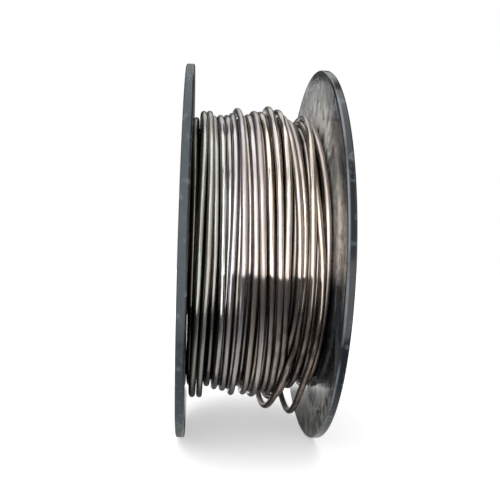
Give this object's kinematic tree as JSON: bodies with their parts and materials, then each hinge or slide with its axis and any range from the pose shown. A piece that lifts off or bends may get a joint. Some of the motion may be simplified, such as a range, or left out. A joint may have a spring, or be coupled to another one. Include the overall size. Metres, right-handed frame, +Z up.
{
  "type": "spool of lead alloy wire",
  "caption": "Grey lead alloy wire wound in layers on a black moulded spool with two thin round flanges and a spindle bore, for feeding wire by hand or from a spindle.",
  "frame": {"origin": "on the axis of the spindle bore, midway between the two flanges", "axes": "+X along the spindle bore, from the left flange to the flange that the slack turns lie beside; +Z up, with the spool standing on its flange rims"},
  "size_m": [0.037, 0.1, 0.1],
  "materials": {
    "spool_plastic": "black moulded polystyrene, glossy on the flange faces and satin on the rims",
    "lead_wire": "drawn lead alloy, dull grey with a soft warm shine"
  },
  "bodies": {
    "root": {"spool": "spool_plastic", "wire_winding": "lead_wire", "slack_turns": "lead_wire"}
  },
  "joints": []
}
